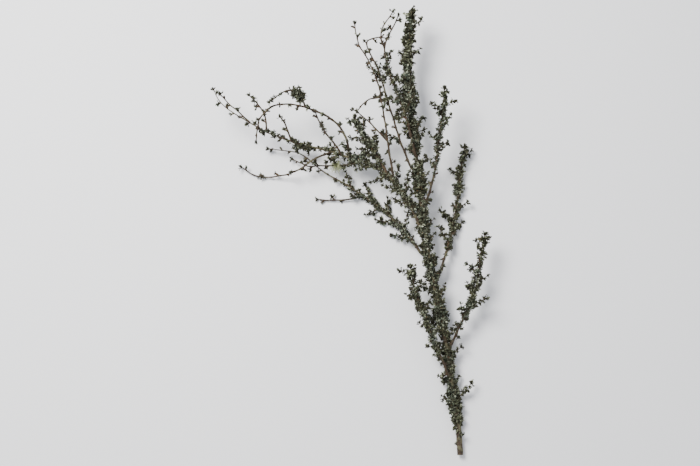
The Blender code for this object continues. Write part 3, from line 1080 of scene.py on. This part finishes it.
def growing_patch(node):
    """The bark inside a thallus of the frame, with how deep the thallus is over each point of it,
    and the patch's area as a share of the thallus's own."""
    source = frame["nodes"][node].data
    corners = [vert.co for vert in source.vertices]
    shell = BVHTree.FromPolygons(corners, [face.vertices for face in source.polygons])
    low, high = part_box(node)
    long = max(high - low) > LONG_THALLUS
    verts, faces, depths = [], [], []
    for spine in spines().values():
        before = None
        for index, (centre, radius) in enumerate(zip(spine.points, spine.radii)):
            ring, reach = [], []
            if all(low[axis] < centre[axis] < high[axis] for axis in range(3)):
                for side in range(PATCH_SIDES):
                    out = spine.outward(index, math.tau * side / PATCH_SIDES)
                    *_, gap = shell.ray_cast(centre + out * SHELL_FAR, -out, SHELL_FAR)
                    if gap is None:
                        break
                    place = centre + out * radius
                    depth = (SHELL_FAR - gap - radius) * clump_depth(place, long)
                    ring.append(place)
                    reach.append(max(LEAST_REACH, depth))
            if len(ring) < PATCH_SIDES:
                before = None
                continue
            start = len(verts)
            verts += ring
            depths += reach
            if before is not None:
                for side in range(PATCH_SIDES):
                    after = (side + 1) % PATCH_SIDES
                    faces.append((before + side, before + after, start + after, start + side))
            before = start
    mesh = bpy.data.meshes.new(node + "_patch")
    mesh.from_pydata(verts, [], faces)
    float_layer(mesh, "depth", depths)
    bark, thallus = (sum(face.area for face in skin.polygons) for skin in (mesh, source))
    return new_object(node + "_patch", mesh), bark / thallus


class LICHEN_OT_thalli(bpy.types.Operator):
    """Stand rosettes of lobes on the bark inside every larger thallus"""

    bl_idname = "lichen_branch.thalli"
    bl_label = "Grow the larger thalli"

    def execute(self, context):
        settings = context.scene.lichen_settings
        lobes = shape_collection("frond", large_frond, 14, 7)
        tree = rosette_tree("rosettes_on_bark", True)
        thalli = [node for node in frame["nodes"] if "lichen" in node and node != BEARD]
        for number, node in enumerate(thalli):
            patch, bark_share = growing_patch(node)
            spacing = settings.spacing * math.sqrt(bark_share / STEM_BARK_SHARE)
            values = {"Lobes": lobes, "Lobes in a rosette": settings.lobes}
            values |= {"Seed": number, "Spacing": spacing}
            grow_lobes(node + "_lobes", tree, patch, values, node)
        drop_collection(lobes)
        return {"FINISHED"}


class LICHEN_OT_tufts(bpy.types.Operator):
    """Stand small tufts of lobes on the spurs and the short shoots"""

    bl_idname = "lichen_branch.tufts"
    bl_label = "Grow the small tufts"

    def execute(self, context):
        settings = context.scene.lichen_settings
        lobes = shape_collection("small_frond", small_frond, 12, 19)
        tree = rosette_tree("rosettes_on_sites", False)
        for number, name in enumerate(spines()):
            rng = random.Random(number)
            sites = []
            *buds, tip_bud = workshop[name + "_buds"]
            for place, turn, size in buds:
                if rng.random() < BUD_TUFTS:
                    top = place + turn @ Vector((0, 0, size * 0.55))
                    sites.append((top, turn, settings.tuft_reach * rng.uniform(0.65, 1.25)))
            place, turn, size = tip_bud
            top = place + turn @ Vector((0, 0, size * 0.4))
            sites.append((top, turn, settings.tuft_reach * TIP_TUFT))
            for shoot in workshop.get(name + "_shoots", []):
                reach = settings.tuft_reach * SHOOT_TUFT
                sites += tuft_sites(shoot, SHOOT_TUFT_PITCH, reach, rng)
            if name in STRAY_ROSETTES:
                spine = spines()[name]
                first, last, size = STRAY_ROSETTES[name]
                sites += tuft_sites(spine, STRAY_PITCH, size, rng, first, last)
                if last == 1.0:
                    crown = 1 - CROWN_LENGTH / spine.length
                    sites += tuft_sites(spine, CROWN_PITCH, size * CROWN_SIZE, rng, crown)
            values = {"Lobes": lobes, "Lobes in a rosette": settings.tuft_lobes}
            grow_lobes(name + "_tufts", tree, sites_object("tuft_sites", sites), values)
        drop_collection(lobes)
        return {"FINISHED"}


def scatter(rng):
    """A random step in space."""
    return Vector([rng.gauss(0, 1) for _ in range(3)])


class LICHEN_OT_beard(bpy.types.Operator):
    """Grow the tuft of thready beard lichen"""

    bl_idname = "lichen_branch.beard"
    bl_label = "Grow the beard lichen"

    def execute(self, context):
        settings = context.scene.lichen_settings
        rng = random.Random(5)
        low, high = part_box(BEARD)
        centre = (low + high) / 2
        reach = (high - low) / 2
        root = min(spines()["cross_twig"].points, key=lambda point: (point - centre).length)
        look = thread_material(BEARD + "_threads", settings.beard)
        work = bmesh.new()
        grain = work.loops.layers.uv.new("grain")
        for number in range(settings.threads):
            out = scatter(rng).normalized()
            long = number % LONG_THREAD_EVERY == 0
            far = rng.uniform(1.2, 1.7) if long else rng.uniform(0.5, 1.15)
            goal = centre + Vector(out[axis] * reach[axis] * far for axis in range(3))
            swirl = scatter(rng) * THREAD_SWIRL
            start = root + out * THREAD_START
            points = []
            for step in range(THREAD_STEPS + 1):
                t = step / THREAD_STEPS
                place = start.lerp(goal, t) + swirl * math.sin(t * math.pi)
                place += scatter(rng) * THREAD_KINK * t
                place.z -= THREAD_DROOP * t * t
                points.append(place)
            steps = range(THREAD_STEPS + 1)
            radii = [THREAD_RADIUS * (1 - THREAD_TAPER * step / THREAD_STEPS) for step in steps]
            thread = Spine(points, radii, THREAD_PITCH)
            grow_tube(work, grain, thread, THREAD_SIDES, rough=0.0)
        mesh = finish_mesh(BEARD + "_threads", work, look)
        span = max(reach)
        reached = [min(1.0, (vert.co - root).length / span) for vert in mesh.vertices]
        float_layer(mesh, "reach", reached)
        add_piece(BEARD + "_threads", mesh, BEARD, BEARD)
        return {"FINISHED"}


FLOOR_SIZE = 6.0
ROOM_LIGHT = (0.93, 0.95, 1.0, 1)
KEY_PLACE = (-0.9, 0.9, 1.9)
KEY_SIZE = 1.1
KEY_COLOUR = (1.0, 0.985, 0.96)
SENSOR_WIDTH = 36.0  # in millimetres, as the lens is
SENSOR_HEIGHT = 24.0
MARGIN = 1.055  # the branch's length and the space round it, as a share of that length
FAR_CLIP = 50.0


class LICHEN_OT_studio(bpy.types.Operator):
    """Lay the floor and set the lights and the camera"""

    bl_idname = "lichen_branch.studio"
    bl_label = "Set up the studio"

    def execute(self, context):
        settings = context.scene.studio_settings
        scene = context.scene
        work = bmesh.new()
        bmesh.ops.create_grid(work, x_segments=1, y_segments=1, size=FLOOR_SIZE)
        shader = Shader("studio_floor")
        shader.feed(shader.surface["Base Color"], (*settings.floor, 1))
        shader.feed(shader.surface["Roughness"], 0.9)
        shader.feed(shader.surface["Specular IOR Level"], 0.1)
        slab = finish_mesh("studio_floor", work, shader.material)
        new_object("studio_floor", slab)
        world = bpy.data.worlds.new("soft_room")
        world.use_nodes = True
        background = world.node_tree.nodes["Background"]
        background.inputs["Color"].default_value = ROOM_LIGHT
        background.inputs["Strength"].default_value = settings.fill
        scene.world = world
        low, high = CAD_BOX
        middle = (low + high) / 2
        light = bpy.data.lights.new("key_light", "AREA")
        light.shape = "DISK"
        light.size = KEY_SIZE
        light.energy = settings.key
        light.color = KEY_COLOUR
        lamp = new_object("key_light", light)
        lamp.location = KEY_PLACE
        lamp.rotation_euler = (middle - lamp.location).to_track_quat("-Z", "Y").to_euler()
        camera = bpy.data.cameras.new("camera")
        camera.lens = settings.lens
        camera.sensor_width = SENSOR_WIDTH
        holder = new_object("camera", camera)
        back = Vector((0, -math.sin(settings.tilt), math.cos(settings.tilt)))
        frame_height = SENSOR_HEIGHT / settings.lens
        distance = (high.y - low.y) * MARGIN / frame_height
        holder.location = middle + back * distance
        holder.rotation_mode = "QUATERNION"
        holder.rotation_quaternion = (-back).to_track_quat("-Z", "Y")
        camera.clip_end = FAR_CLIP
        scene.camera = holder
        return {"FINISHED"}


class LICHEN_PT_panel(bpy.types.Panel):
    """Lists the steps that grow the branch"""

    bl_idname = "LICHEN_PT_panel"
    bl_label = "Lichen Branch"
    bl_space_type = "VIEW_3D"
    bl_region_type = "UI"
    bl_category = "Lichen Branch"

    def draw(self, context):
        for group in GROUPS:
            settings = getattr(context.scene, group)
            for name in settings.__annotations__:
                self.layout.prop(settings, name)
        for operator in STEPS:
            self.layout.operator(operator.bl_idname)


STEPS = (LICHEN_OT_wood, LICHEN_OT_thalli, LICHEN_OT_tufts, LICHEN_OT_beard, LICHEN_OT_studio)
GROUPS = {
    "bark_settings": BarkSettings,
    "lichen_settings": LichenSettings,
    "studio_settings": StudioSettings,
}


def register():
    for name, group in GROUPS.items():
        bpy.utils.register_class(group)
        setattr(bpy.types.Scene, name, bpy.props.PointerProperty(type=group))
    for part in (*STEPS, LICHEN_PT_panel):
        bpy.utils.register_class(part)


def unregister():
    for part in (LICHEN_PT_panel, *reversed(STEPS)):
        bpy.utils.unregister_class(part)
    for name, group in GROUPS.items():
        delattr(bpy.types.Scene, name)
        bpy.utils.unregister_class(group)


def main():
    register()
    bpy.ops.lichen_branch.wood()
    bpy.ops.lichen_branch.thalli()
    bpy.ops.lichen_branch.tufts()
    bpy.ops.lichen_branch.beard()
    bpy.ops.lichen_branch.studio()


if __name__ == "__main__":
    main()
